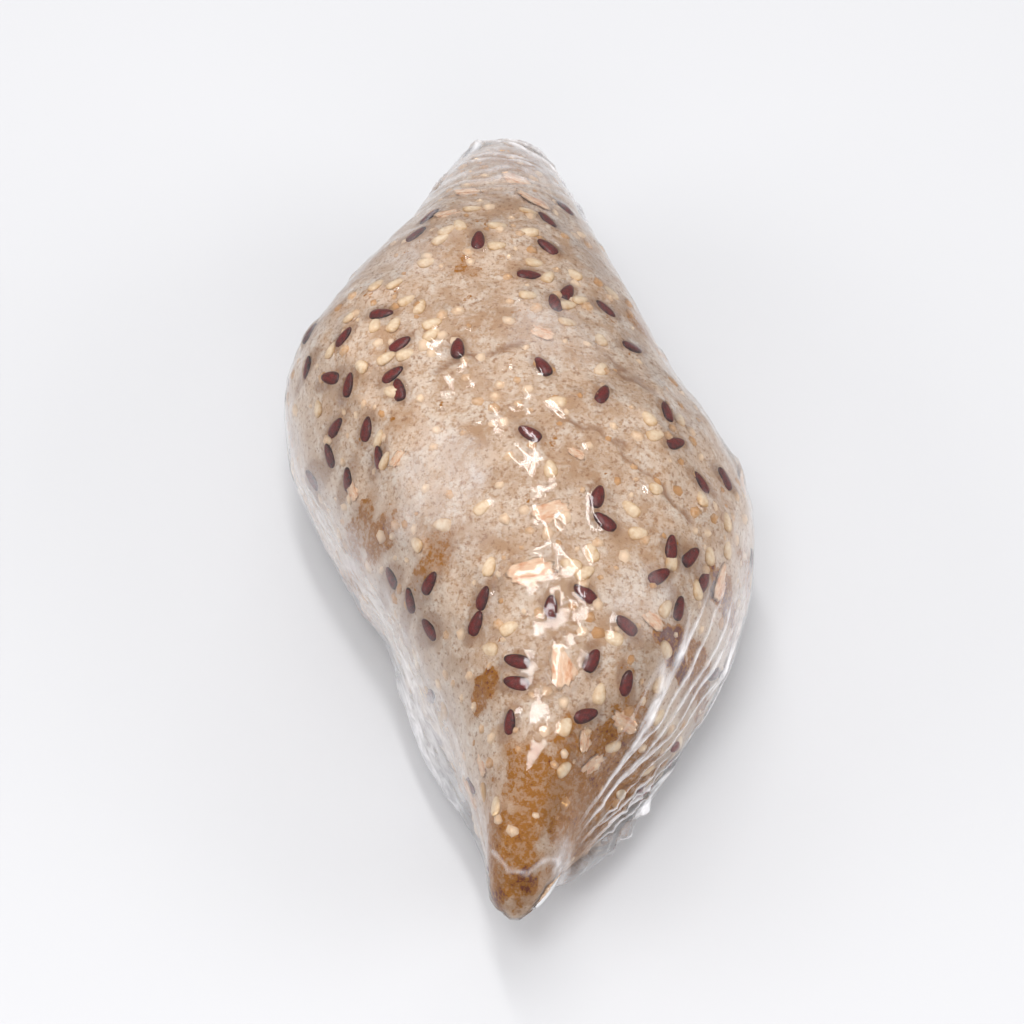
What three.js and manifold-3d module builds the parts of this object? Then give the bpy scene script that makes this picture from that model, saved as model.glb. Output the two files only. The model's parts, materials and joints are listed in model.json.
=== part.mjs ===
// A seeded bread roll with two pointed ends, wrapped in clear cling film.
// Millimetres, +Z up. The roll lies along Y on its flat base, and its middle is at X = Y = 0.
import * as THREE from "three";
import { mergeVertices } from "three/addons/utils/BufferGeometryUtils.js";
import Module from "manifold-3d";

// ---------- driving dimensions ----------
const HEIGHT = 47; // the loaf's crown over its base
const TIP_RADIUS = 6; // rounding of the two pointed ends, along Y
const WIDEST_LEVEL = 0.36; // share of a section's height where it is widest
const SQUARENESS = 2.25; // 2 is an ellipse, and more gives fuller shoulders
const BASE_DEPTH = 1.22; // how far a section's lower half would reach past the base that cuts it off
const FILM = 0.4; // thickness of the film's wall
const GAP = 0.3; // between the crust and the film
const FILM_MOUTH = { length: 62, width: 20 }; // underneath, where the gathered edges of the film meet
const RINGS = 34; // sections along the loaf
const SEGMENTS = 36; // points round each section

// Y, the left and right edges in plan, the crown's share of HEIGHT, and the underside's height.
const STATIONS = [
  [-73.5, -4.5, 4, 0.44, 13],
  [-66, -4.5, 6.5, 0.56, 8.5],
  [-55, -6.5, 14.5, 0.7, 3.5],
  [-41, -12, 26.5, 0.84, 0.5],
  [-26, -19.5, 34, 0.94, 0],
  [-11, -28, 37.5, 0.99, 0],
  [4, -35.5, 34, 1, 0],
  [19, -37.5, 26, 0.98, 0],
  [34, -30, 20, 0.93, 0],
  [48, -20, 14, 0.83, 2.5],
  [60, -14, 9, 0.7, 8],
  [68, -10, 6.5, 0.58, 12],
  [73.5, -7, 4, 0.46, 16],
];

// Two places where the film stands off the crust in a soft fold.
const FOLDS = [
  { y: -41, angle: 200, out: 3.5, length: 12, spread: 24 },
  { y: -57, angle: -26, out: 2.5, length: 10, spread: 26 },
];

// ---------- the loaf's form ----------
const plan = new THREE.CubicInterpolant(
  STATIONS.map((station) => station[0]),
  STATIONS.flatMap((station) => station.slice(1)),
  4,
);
const NEAR_TIP = STATIONS[0][0];
const FAR_TIP = STATIONS.at(-1)[0];

// 1 along the body, falling to 0 at a tip on a quarter circle.
function tipRounding(y) {
  const intoTip = Math.max(0, NEAR_TIP + TIP_RADIUS - y, y - FAR_TIP + TIP_RADIUS) / TIP_RADIUS;
  return Math.sqrt(Math.max(0, 1 - intoTip ** 2));
}

function bend(value) {
  return Math.sign(value) * Math.abs(value) ** (2 / SQUARENESS);
}

// The point of the crust at a place along the loaf and an angle round it: 0 is +X, and 90 is the crown.
function crustPoint(y, angle) {
  const [left, right, crown, swept] = plan.evaluate(y);
  const underside = Math.max(0, swept);
  const rounding = tipRounding(y);
  const floor = FILM + GAP + underside;
  const widest = floor + WIDEST_LEVEL * (crown * HEIGHT - underside);
  const rise = (FILM + GAP + crown * HEIGHT - widest) * rounding;
  const drop = (widest - floor) * rounding;
  const across = bend(Math.cos(angle));
  const up = bend(Math.sin(angle));
  const x = (left + right) / 2 + ((right - left) / 2) * rounding * across;
  const z = up > 0 ? widest + rise * up : widest + drop * Math.max(-1, BASE_DEPTH * up);
  return new THREE.Vector3(x, y, z);
}

// A closed skin of rings along the loaf, with one point at each tip. lift moves each point outwards,
// but never below the level that is its lowest.
function skin(lift, lowest) {
  const along = (ring) => {
    const turn = (ring / (RINGS + 1)) * Math.PI;
    return (NEAR_TIP + FAR_TIP) / 2 - ((FAR_TIP - NEAR_TIP) / 2) * Math.cos(turn);
  };
  const points = [];
  for (let ring = 1; ring <= RINGS; ring++)
    for (let segment = 0; segment < SEGMENTS; segment++)
      points.push(crustPoint(along(ring), (segment / SEGMENTS) * 2 * Math.PI));
  const nearPole = points.push(crustPoint(NEAR_TIP, 0)) - 1;
  const farPole = points.push(crustPoint(FAR_TIP, 0)) - 1;

  const faces = [];
  for (let segment = 0; segment < SEGMENTS; segment++) {
    const next = (segment + 1) % SEGMENTS;
    for (let ring = 0; ring < RINGS - 1; ring++) {
      const here = ring * SEGMENTS;
      const beyond = here + SEGMENTS;
      faces.push(here + segment, beyond + segment, here + next);
      faces.push(here + next, beyond + segment, beyond + next);
    }
    const last = (RINGS - 1) * SEGMENTS;
    faces.push(nearPole, segment, next);
    faces.push(farPole, last + next, last + segment);
  }

  const geometry = new THREE.BufferGeometry().setFromPoints(points);
  geometry.setIndex(faces);
  geometry.computeVertexNormals();
  if (lift) {
    const position = geometry.getAttribute("position");
    const normal = geometry.getAttribute("normal");
    const outwards = new THREE.Vector3();
    points.forEach((point, i) => {
      const angle = THREE.MathUtils.radToDeg(((i % SEGMENTS) / SEGMENTS) * 2 * Math.PI);
      outwards.fromBufferAttribute(normal, i);
      point.addScaledVector(outwards, lift(point.y, angle));
      point.z = Math.max(lowest, point.z);
      position.setXYZ(i, ...point.toArray());
    });
  }
  geometry.deleteAttribute("normal");
  return geometry;
}

// How far the film stands off because of its folds, at a place along the loaf and round it in degrees.
function foldLift(y, degrees) {
  return FOLDS.reduce((sum, fold) => {
    const along = (y - fold.y) / fold.length;
    const round = (((degrees - fold.angle + 540) % 360) - 180) / fold.spread;
    return sum + fold.out * Math.exp(-(along ** 2) - round ** 2);
  }, 0);
}

// ---------- solids ----------
const wasm = await Module();
wasm.setup();

function solidFrom(geometry) {
  const closed = geometry.clone();
  closed.deleteAttribute("normal");
  closed.deleteAttribute("uv");
  const merged = mergeVertices(closed, 1e-4);
  return new wasm.Manifold(
    new wasm.Mesh({
      numProp: 3,
      vertProperties: merged.getAttribute("position").array,
      triVerts: new Uint32Array(merged.index.array),
    }),
  );
}

function geometryFrom(solid) {
  const { vertProperties, triVerts } = solid.getMesh();
  const geometry = new THREE.BufferGeometry();
  geometry.setAttribute("position", new THREE.BufferAttribute(vertProperties, 3));
  geometry.setIndex(new THREE.BufferAttribute(triVerts, 1));
  return geometry;
}

// The mouth under the loaf: a long slot with round ends, tall enough to cut only the film's underside.
function filmMouth() {
  const { length, width } = FILM_MOUTH;
  const straight = (length - width) / 2;
  const outline = new THREE.Shape();
  outline.absarc(0, straight, width / 2, 0, Math.PI);
  outline.absarc(0, -straight, width / 2, Math.PI, 2 * Math.PI);
  const cut = new THREE.ExtrudeGeometry(outline, {
    depth: FILM + GAP + 1,
    bevelEnabled: false,
    curveSegments: 10,
  });
  return cut.translate(0, 0, -1);
}

function filmWrap() {
  const outside = solidFrom(skin((y, degrees) => GAP + FILM + foldLift(y, degrees), 0));
  const inside = solidFrom(skin((y, degrees) => GAP + foldLift(y, degrees), FILM));
  return geometryFrom(outside.subtract(inside).subtract(solidFrom(filmMouth())));
}

// ---------- the model ----------
const crust = new THREE.MeshStandardMaterial({ color: "#c1a089", roughness: 0.75, metalness: 0 });
const film = new THREE.MeshStandardMaterial({
  color: "#f4f3f5",
  roughness: 0.12,
  metalness: 0,
  transparent: true,
  opacity: 0.3,
});

function piece(name, geometry, material) {
  const mesh = new THREE.Mesh(geometry, material);
  mesh.name = name;
  return mesh;
}

const breadRoll = new THREE.Group();
breadRoll.add(piece("roll", skin(), crust));
breadRoll.add(piece("cling_film", filmWrap(), film));

export default breadRoll;
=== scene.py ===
"""A seeded, pointed bread roll, wrapped tightly in clear cling film and lying on its flat base.

The loaf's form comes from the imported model. Everything is in metres, +Z up, with the loaf along Y.
"""

import json
import math

import bmesh
import bpy
import numpy as np
from bpy.props import FloatProperty, FloatVectorProperty, IntProperty, PointerProperty
from mathutils import Matrix, Vector, noise
from mathutils.bvhtree import BVHTree

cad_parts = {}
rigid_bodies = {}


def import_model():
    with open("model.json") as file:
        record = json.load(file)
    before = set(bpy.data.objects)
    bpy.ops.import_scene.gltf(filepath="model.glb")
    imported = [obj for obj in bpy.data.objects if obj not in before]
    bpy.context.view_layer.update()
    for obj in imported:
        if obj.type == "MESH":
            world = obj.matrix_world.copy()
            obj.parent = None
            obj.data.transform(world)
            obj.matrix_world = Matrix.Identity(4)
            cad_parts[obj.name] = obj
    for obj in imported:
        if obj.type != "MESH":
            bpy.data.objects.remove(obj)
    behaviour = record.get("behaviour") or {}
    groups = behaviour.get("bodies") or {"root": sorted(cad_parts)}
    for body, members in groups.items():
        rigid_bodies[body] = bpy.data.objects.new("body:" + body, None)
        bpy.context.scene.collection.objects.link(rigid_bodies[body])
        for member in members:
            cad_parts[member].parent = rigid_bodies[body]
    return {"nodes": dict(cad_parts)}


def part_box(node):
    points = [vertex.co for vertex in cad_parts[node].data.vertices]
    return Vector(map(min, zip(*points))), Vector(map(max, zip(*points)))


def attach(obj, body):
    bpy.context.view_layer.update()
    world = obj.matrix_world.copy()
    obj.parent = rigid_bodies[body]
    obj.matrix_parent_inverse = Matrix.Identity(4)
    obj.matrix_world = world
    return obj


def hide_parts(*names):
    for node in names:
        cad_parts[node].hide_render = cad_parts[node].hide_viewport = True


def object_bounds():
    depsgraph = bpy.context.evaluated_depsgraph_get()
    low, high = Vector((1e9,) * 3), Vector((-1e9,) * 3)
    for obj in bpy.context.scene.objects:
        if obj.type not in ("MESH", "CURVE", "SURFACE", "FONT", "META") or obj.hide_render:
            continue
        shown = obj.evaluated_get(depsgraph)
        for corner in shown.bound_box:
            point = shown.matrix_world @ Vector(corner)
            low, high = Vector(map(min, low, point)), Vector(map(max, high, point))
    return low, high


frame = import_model()
CAD_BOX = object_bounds()

bl_info = {
    "name": "Film-wrapped bread roll",
    "version": (1, 0, 0),
    "blender": (4, 5, 0),
    "location": "3D View > Sidebar > Bread roll",
    "description": "Makes a seeded bread roll wrapped in clear cling film",
    "category": "Add Mesh",
}

MM = 0.001
RINGS = 330  # of the fine skins, from the near tip to the far one
SEGMENTS = 290  # round each ring
UNDERSIDE_DENSITY = 0.3  # share of the segments' density that the flat underside gets
HEART_HEIGHT = 0.42  # how high in the loaf the rays start that find its skin, as a share of its height
ROUNDINGS = 40  # how often the grid is evened out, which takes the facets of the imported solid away
TIP_ROUNDINGS = 240  # the same for the far tip, which is blunter


# ---------- small helpers ----------
def srgb(hex_colour):
    """A colour as in a paint chart, '#rrggbb', turned to linear light."""
    values = [int(hex_colour[i : i + 2], 16) / 255 for i in (1, 3, 5)]
    return [v / 12.92 if v <= 0.04045 else ((v + 0.055) / 1.055) ** 2.4 for v in values]


def colour_property(name, description, hex_colour):
    """A colour that a user can change, with its default in hex."""
    return FloatVectorProperty(
        name=name, description=description, default=srgb(hex_colour), subtype="COLOR", min=0, max=1
    )


def size_property(name, description, millimetres):
    """A length that a user can change, with its default in mm."""
    return FloatProperty(
        name=name, description=description, default=millimetres * MM, unit="LENGTH", min=0, precision=5
    )


def node(tree, kind, inputs=None, **settings):
    """Adds a node. inputs gives each socket, by name or number, a value, the output that feeds it, or the
    node whose first output does."""
    made = tree.nodes.new(kind)
    for name, value in settings.items():
        setattr(made, name, value)
    for name, value in (inputs or {}).items():
        if isinstance(value, bpy.types.Node):
            value = value.outputs[0]
        if isinstance(value, bpy.types.NodeSocket):
            tree.links.new(value, made.inputs[name])
        else:
            made.inputs[name].default_value = value
    return made


def new_material(name):
    """An empty material, and the tree that takes its nodes."""
    material = bpy.data.materials.new(name)
    material.use_nodes = True
    material.node_tree.nodes.clear()
    return material, material.node_tree


def per_metre(millimetres):
    """The scale of a noise whose features are that many millimetres across."""
    return 1 / (millimetres * MM)


def rgba(colour):
    """A linear colour with the full opacity that a colour socket wants."""
    return (*colour, 1.0)


def linked(name, mesh, material=None):
    """A new object with that mesh, and with the material if one is given."""
    made = bpy.data.objects.new(name, mesh)
    bpy.context.scene.collection.objects.link(made)
    if material:
        mesh.materials.append(material)
    return made


def surface_of(*pieces):
    """A ray-casting tree of the meshes of those objects together."""
    corners, faces = [], []
    for piece in pieces:
        start = len(corners)
        corners += [v.co[:] for v in piece.data.vertices]
        faces += [[start + i for i in p.vertices] for p in piece.data.polygons]
    return BVHTree.FromPolygons(corners, faces)


def smooth_step(low, high, values):
    """0 below low, 1 above high and a soft rise between. It falls instead where low is above high."""
    t = np.clip((values - low) / (high - low), 0, 1)
    return t * t * (3 - 2 * t)


def noise_field(points, size_mm, octaves=2, offset=0.0):
    """Soft noise from about -1 to 1, with features of that size, at each of the points."""
    scale = per_metre(size_mm)
    shift = Vector((offset, -offset, 0.5 * offset))
    flat = points.reshape(-1, 3) * scale
    values = [noise.fractal(Vector(p) + shift, 1.0, 2.0, octaves) for p in flat]
    return np.array(values).reshape(points.shape[:-1])


# ---------- the loaf's form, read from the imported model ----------
def loaf_skin():
    """The loaf's form as a grid of points, ring by ring, and the angle of each segment."""
    low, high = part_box("roll")
    cad = frame["nodes"]["roll"]
    co = np.array([v.co[:] for v in cad.data.vertices])
    tree = surface_of(cad)

    levels = np.unique(np.round(co[:, 1], 5))
    middle_line = []
    for y in levels:
        ring = co[np.abs(co[:, 1] - y) < 0.05 * MM]
        middle_line.append(((ring[:, 0].min() + ring[:, 0].max()) / 2, ring[:, 2].min(), ring[:, 2].max()))
    middle_x, bottom, top = np.array(middle_line).T
    middle_z = bottom + HEART_HEIGHT * (top - bottom)

    # Rings are evenly spaced along the crown, which bunches them where it turns down at the tips.
    fine_y = low.y + (high.y - low.y) * (1 - np.cos(np.linspace(0, math.pi, 1200))) / 2
    crown = []
    for y in fine_y:
        origin = Vector((np.interp(y, levels, middle_x), y, np.interp(y, levels, middle_z)))
        hit = tree.ray_cast(origin, Vector((0, 0, 1)))[0]
        crown.append(hit.z - origin.z if hit else 0.0)
    steps = np.hypot(np.diff(fine_y), np.diff(crown))
    along = np.concatenate([[0], np.cumsum(steps)])
    ring_y = np.interp(np.linspace(0, along[-1], RINGS + 2)[1:-1], along, fine_y)

    # Segments are evenly spaced over the top and the sides, and wider apart underneath.
    fine_angle = np.linspace(-0.5 * math.pi, 1.5 * math.pi, 1441)
    underneath = np.sin(fine_angle) < math.sin(math.radians(-25))
    density = np.where(underneath, UNDERSIDE_DENSITY, 1.0)
    share = np.concatenate([[0], np.cumsum((density[1:] + density[:-1]) / 2)])
    angles = np.interp(np.arange(SEGMENTS) / SEGMENTS, share / share[-1], fine_angle)

    grid = np.zeros((RINGS, SEGMENTS, 3))
    for i, y in enumerate(ring_y):
        origin = Vector((np.interp(y, levels, middle_x), y, np.interp(y, levels, middle_z)))
        for j, angle in enumerate(angles):
            hit = tree.ray_cast(origin, Vector((math.cos(angle), 0, math.sin(angle))))[0]
            grid[i, j] = hit if hit else origin
    return grid, angles


def ring_neighbours(grid, poles):
    """The grid's points one ring nearer and one ring farther, with the poles beyond the end rings."""
    near = np.concatenate([np.broadcast_to(poles[0], grid[:1].shape), grid[:-1]])
    far = np.concatenate([grid[1:], np.broadcast_to(poles[1], grid[:1].shape)])
    return near, far


class Loaf:
    """The smooth loaf: its grid of points, each one's way out, its two poles, and its grid's spacing."""

    def __init__(self):
        low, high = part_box("roll")
        grid, self.angles = loaf_skin()
        poles = [grid[0].mean(0), grid[-1].mean(0)]
        poles[0][1], poles[1][1] = low.y, high.y
        floor = low.z
        flat = grid[..., 2] < floor + 0.02 * MM  # the base stays flat
        far_end = smooth_step(60 * MM, 68 * MM, grid[..., 1])[..., None]
        for turn in range(TIP_ROUNDINGS):
            near, far = ring_neighbours(grid, poles)
            sides = np.roll(grid, 1, 1) + np.roll(grid, -1, 1)
            strength = 0.5 if turn < ROUNDINGS else 0.5 * far_end
            grid = grid + strength * ((near + far + sides) / 4 - grid)
            grid[..., 2][flat] = floor
        stretch = (high.y - low.y) / (grid[..., 1].max() - grid[..., 1].min() + 0.2 * MM)
        middle = (high.y + low.y) / 2
        grid[..., 1] = middle + (grid[..., 1] - middle) * stretch
        # The near tip is cut off slantwise underneath, more so on its right. The cut takes less than half of
        # the height that a ring has, so that its underside stays under its top.
        x, y = grid[..., 0] / MM, grid[..., 1] / MM
        under = smooth_step(0.2, -0.5, np.sin(self.angles))[None, :]
        cut = 4.5 * MM * under * smooth_step(-60, -72, y) * np.clip((x + 5) / 9, 0, 1)
        room = grid[..., 2].max(axis=1, keepdims=True) - grid[..., 2]
        grid[..., 2] += np.minimum(cut, 0.45 * room)
        poles[0][0::2] = grid[0].mean(0)[0::2]
        poles[1][0::2] = grid[-1].mean(0)[0::2]
        self.grid, self.poles = grid, poles
        self.in_mm = [grid[..., k] / MM for k in range(3)]  # x, y and z of the grid's points
        near, far = ring_neighbours(grid, poles)
        across = np.roll(grid, -1, 1) - np.roll(grid, 1, 1)
        out = np.cross(far - near, across)
        self.out = out / np.linalg.norm(out, axis=2, keepdims=True)
        self.pole_out = [np.array([0, -1.0, 0]), np.array([0, 1.0, 0])]
        self.ring_gap = np.linalg.norm(far - near, axis=2) / 2
        self.segment_gap = np.linalg.norm(across, axis=2) / 2

    def raised(self, height):
        """The grid moved outwards by a height at each point, and the poles by their rings' means."""
        points = self.grid + self.out * height[..., None]
        ends = [
            self.poles[k] + self.pole_out[k] * height[ring].mean() for k, ring in ((0, 0), (1, -1))
        ]
        return points, ends


def skin_mesh(name, points, poles, keep=None):
    """A mesh of the grid's rings. keep says which faces stay, and all do if it isn't given."""
    rings, segments = points.shape[:2]
    corners = np.concatenate([points.reshape(-1, 3), np.array(poles)])
    ring, segment = np.meshgrid(np.arange(rings - 1), np.arange(segments), indexing="ij")
    here = ring * segments + segment
    beside = ring * segments + (segment + 1) % segments
    quads = np.stack([here, here + segments, beside + segments, beside], -1)
    quads = quads[keep] if keep is not None else quads.reshape(-1, 4)
    faces = [tuple(q) for q in quads.tolist()]
    last = (rings - 1) * segments
    near_pole, far_pole = rings * segments, rings * segments + 1
    for k in range(segments):
        beyond = (k + 1) % segments
        faces.append((near_pole, k, beyond))
        faces.append((far_pole, last + beyond, last + k))
    mesh = bpy.data.meshes.new(name)
    mesh.from_pydata(corners.tolist(), [], faces)
    mesh.validate()
    mesh.shade_smooth()
    return mesh


def paint(mesh, name, values, pole_values=(0.0, 0.0)):
    """Stores a number at each point of a skin mesh, for its material to read."""
    layer = mesh.attributes.new(name, "FLOAT", "POINT")
    flat = np.concatenate([values.reshape(-1), pole_values]).astype(np.float32)
    layer.data.foreach_set("value", flat)


def patches(points, spots, ragged_mm=3.0, offset=0.0):
    """A mask, 0 to 1, of round spots given as (x, y, radius, strength) in mm in plan, with ragged rims."""
    ragged = noise_field(points, ragged_mm, 3, offset)
    mask = np.zeros(points.shape[:-1])
    for x, y, radius, strength in spots:
        away = np.hypot(points[..., 0] / MM - x, points[..., 1] / MM - y) / radius
        mask = np.maximum(mask, strength * smooth_step(1.25, 0.55, away + 0.45 * ragged))
    return mask


def line_mask(points, line, width_mm):
    """A mask, 0 to 1, of a line through points given in mm in plan."""
    x, y = points[..., 0] / MM, points[..., 1] / MM
    nearest = np.full(x.shape, 1e3)
    for (x0, y0), (x1, y1) in zip(line, line[1:]):
        dx, dy = x1 - x0, y1 - y0
        t = np.clip(((x - x0) * dx + (y - y0) * dy) / (dx * dx + dy * dy), 0, 1)
        nearest = np.minimum(nearest, np.hypot(x - x0 - t * dx, y - y0 - t * dy))
    return np.clip(1 - nearest / width_mm, 0, 1)


# ---------- what a user would change ----------
class CrustSettings(bpy.types.PropertyGroup):
    lumps: size_property("Lumps", "Height of the broad lumps of the crust", 0.7)
    blisters: size_property("Blisters", "Height of the small blisters of the crust", 0.34)
    crumb: colour_property("Crust", "Main colour of the baked crust", "#dac5b1")
    warm: colour_property("Warm crust", "Warmer patches of the crust", "#be9c7c")
    flour: colour_property("Flour", "Pale floury clots on the crust", "#ebe3d9")
    bran: colour_property("Bran", "Specks of bran", "#93643c")
    toasted: colour_property("Toasted", "Where the crust browned most", "#a86c00")
    scorched: colour_property("Scorched", "Darkest toasted spots", "#74300a")


class SeedSettings(bpy.types.PropertyGroup):
    linseed_length: size_property("Linseed length", "Length of a linseed", 4.0)
    sesame_length: size_property("Sesame length", "Length of a sesame seed", 3.1)
    flake_length: size_property("Flake length", "Length of a rolled grain flake", 6.5)
    linseed: colour_property("Linseed", "Colour of the linseeds", "#83190c")
    sesame: colour_property("Sesame", "Colour of the sesame seeds", "#ecddc6")
    flake: colour_property("Flake", "Colour of the grain flakes", "#edd0b4")
    bran: colour_property("Flake bran", "Colour of the bran lines of a flake", "#cf8a56")
    grit: colour_property("Grit", "Colour of the small broken grains", "#ead3b8")
    scatter: IntProperty(name="Scatter", description="Seed of the random scatter", default=7)


class FilmSettings(bpy.types.PropertyGroup):
    cling: size_property("Cling", "How far from a seed the film lies on the crust again", 1.15)
    slack: size_property("Slack", "The same, where the film stands off freely", 5.0)
    veil: colour_property("Veil", "Colour of creased film where it turns white", "#f3f1f3")
    ior: FloatProperty(name="IOR", description="Index of refraction of the film", default=1.5, min=1)


class StageSettings(bpy.types.PropertyGroup):
    floor: colour_property("Floor", "Colour of the floor", "#c8c8ca")
    overhead: FloatProperty(
        name="Overhead light", description="Power of the soft light overhead", default=1.3, unit="POWER"
    )
    fill: FloatProperty(
        name="Side fill", description="Power of each soft light round it", default=0.68, unit="POWER"
    )
    surround: FloatProperty(name="Surround", description="Strength of the white surround", default=0.54)
    distance: size_property("Camera distance", "From the camera to what it looks at", 450)
    elevation: FloatProperty(
        name="Camera elevation",
        description="How far the camera looks down",
        default=math.radians(55),
        subtype="ANGLE",
    )


# ---------- crust ----------
# Browned areas of the crust in plan: x, y and radius in mm, and how strongly.
TOASTED_SPOTS = [
    (4, -60, 9, 0.97), (9, -58, 8, 1.02), (-1, -67, 7, 1.03), (-3.5, -72, 2.4, 1.2), (1.5, -70.5, 1.9, 1.2),
    (23.5, -38, 3.2, 1.32), (27, -37, 3.4, 1.1), (-5, -45, 3.2, 1.08), (-21, -17, 3.4, 1.04),
    (31.5, -26, 3.4, 1.2), (-12, -25, 4, 0.93), (20, 20, 3, 0.97), (-8, 25, 3, 0.95), (18, -50, 6, 1.0),
    (14, -54, 5, 1.08), (0, 58, 7, 0.9), (-24, -14, 4, 0.97), (36, -18, 3, 1.0),
]

# Cracks of the crust, in plan in mm.
CRACKS = [
    [
        (6.7, -7), (10, -7.2), (12.7, -7.6), (15.3, -10.1), (18.6, -13.7), (21, -15.2), (23, -17.5),
        (26, -19.5),
    ],
    [(-12, 4), (-8, 6.5), (-3, 7), (1, 9)],
    [(14, 9), (17, 5), (21, 3)],
]


def crust_material(settings):
    """Baked wheat crust, dull and mealy: tan dough clotted with paler flour, ochre where it browned."""
    material, tree = new_material("baked_wheat_crust")
    flour, bran, toasted = rgba(settings.flour), rgba(settings.bran), rgba(settings.toasted)
    spot = node(tree, "ShaderNodeTexCoord").outputs["Object"]
    # Each grain of the crust: its size in mm, then its detail, roughness and distortion.
    grains = []
    for size, detail, roughness, distortion in (
        (9, 3, 0.6, 0), (3.4, 5, 0.7, 0.5), (0.9, 4, 0.75, 0),
        (0.7, 3, 0.6, 0), (3.4, 5, 0.7, 0), (4.2, 4, 0.65, 0),
    ):
        look = {"Detail": detail, "Roughness": roughness, "Distortion": distortion}
        grains.append(node(tree, "ShaderNodeTexNoise", {"Vector": spot, "Scale": per_metre(size)} | look))
    broad, clots, meal, fine, uneven, blotches = grains
    crack, pale, moat, toast = (
        node(tree, "ShaderNodeAttribute", attribute_name=name).outputs["Fac"]
        for name in ("crack", "pale", "moat", "toast")
    )
    # Each mask grows from 0 to its most between two values of what it reads.
    warmth, floury, mealy, specks, blotched, tint = (
        node(tree, "ShaderNodeMapRange", {"Value": value, "From Min": low, "From Max": high, "To Max": most})
        for value, low, high, most in (
            (broad, 0.42, 0.62, 1), (clots, 0.46, 0.62, 0.62), (meal, 0.36, 0.53, 1),
            (fine, 0.55, 0.67, 0.65), (blotches, 0.56, 0.68, 0.93), (toast, 0.2, 1.0, 0.3),
        )
    )
    # The walls are paled towards flour: partly the less-baked crust, partly painted light that brightens
    # them.
    crack_shade, paler_side_share, shade, faint, strong = (
        node(tree, "ShaderNodeMath", {0: value, 1: share}, operation="MULTIPLY")
        for value, share in ((crack, 0.9), (pale, 0.38), (moat, 0.5), (uneven, 0.5), (meal, 1.5))
    )
    # The cracks are darkened with painted shade, the shade that falls inside them; the bran specks are the
    # crust's own colour.
    dark = node(tree, "ShaderNodeMath", {0: specks, 1: crack_shade}, operation="MAXIMUM")
    baked = node(tree, "ShaderNodeMath", {0: toast, 1: blotched}, operation="MAXIMUM")
    clotted = node(tree, "ShaderNodeMath", {0: faint, 1: strong}, operation="ADD")
    browning = node(tree, "ShaderNodeMath", {0: baked, 1: clotted}, operation="MULTIPLY")
    browned = node(tree, "ShaderNodeMapRange", {"Value": browning, "From Min": 0.85, "From Max": 1.03})
    burnt = node(tree, "ShaderNodeMapRange", {"Value": browning, "From Min": 1.16, "From Max": 1.3})

    colour = rgba(settings.crumb)
    for mask, layer in ((warmth, rgba(settings.warm)), (floury, flour)):
        colour = node(tree, "ShaderNodeMix", {0: mask, 6: colour, 7: layer}, data_type="RGBA").outputs[2]
    base = {0: mealy, 6: rgba(settings.warm), 7: colour}
    colour = node(tree, "ShaderNodeMix", base, data_type="RGBA").outputs[2]
    for mask, layer in (
        (paler_side_share, flour), (shade, bran), (dark, bran), (tint, toasted), (browned, toasted),
        (burnt, rgba(settings.scorched)),
    ):
        colour = node(tree, "ShaderNodeMix", {0: mask, 6: colour, 7: layer}, data_type="RGBA").outputs[2]
    relief = node(tree, "ShaderNodeBump", {"Height": meal, "Strength": 0.8, "Distance": 0.5 * MM})
    shader = node(
        tree,
        "ShaderNodeBsdfPrincipled",
        {"Base Color": colour, "Roughness": 0.8, "Normal": relief, "Specular IOR Level": 0.2},
    )
    node(tree, "ShaderNodeOutputMaterial", {"Surface": shader})
    return material


def crack_mask(points):
    """Where the crust is cracked, 0 to 1, with uneven lines."""
    wandering = points + 1.1 * MM * noise_field(points, 3, 2, 5.5)[..., None]
    return np.max([line_mask(wandering, crack, 0.75) for crack in CRACKS], axis=0)


def crust_height(loaf, settings):
    """How far the crust stands out from the smooth loaf: broad lumps, blisters and a pebbly skin."""
    points = loaf.grid
    broad = noise_field(points, 17, 2, 3.1)
    blisters = noise_field(points, 5.5, 2, 7.7)
    pebbles = noise_field(points, 1.7, 2, 1.3)
    height = settings.lumps * broad + settings.blisters * blisters + 0.13 * MM * pebbles
    # The flat base was pressed by the tray, and the crust keeps inside the film there.
    underneath = smooth_step(3.0 * MM, 0.2 * MM, points[..., 2] - points[..., 2].min())
    return height * (1 - underneath) - 0.02 * MM - 0.3 * MM * crack_mask(points)


def painted_seed_shade(points, length):
    """How near each point is to a placed linseed, 0 to 1, for painted shade that darkens the dough round
    them.
    """
    near = np.zeros(points.shape[:2])
    for x, y, turn in LINSEEDS:
        across, along = points[..., 0] - x * MM, points[..., 1] - y * MM
        c, s = math.cos(math.radians(turn)), math.sin(math.radians(turn))
        lengthwise, sideways = c * across + s * along, c * along - s * across
        reach = np.hypot(lengthwise / (0.5 * length), sideways / (0.27 * length))
        near = np.maximum(near, smooth_step(1.6, 1.15, reach))
    return near * (LOAF.out[..., 2] > 0.1)


def strewn_share(points):
    """Where seeds are strewn at random, 0 to 1: on the low walls and the far end, but not on the base."""
    y, z = points[..., 1] / MM, points[..., 2] / MM
    low = smooth_step(27, 20, z)
    far_end = 0.5 * smooth_step(58, 64, y)
    return np.maximum(low, far_end) * smooth_step(3, 7, z) * smooth_step(-62, -54, y)


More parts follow.
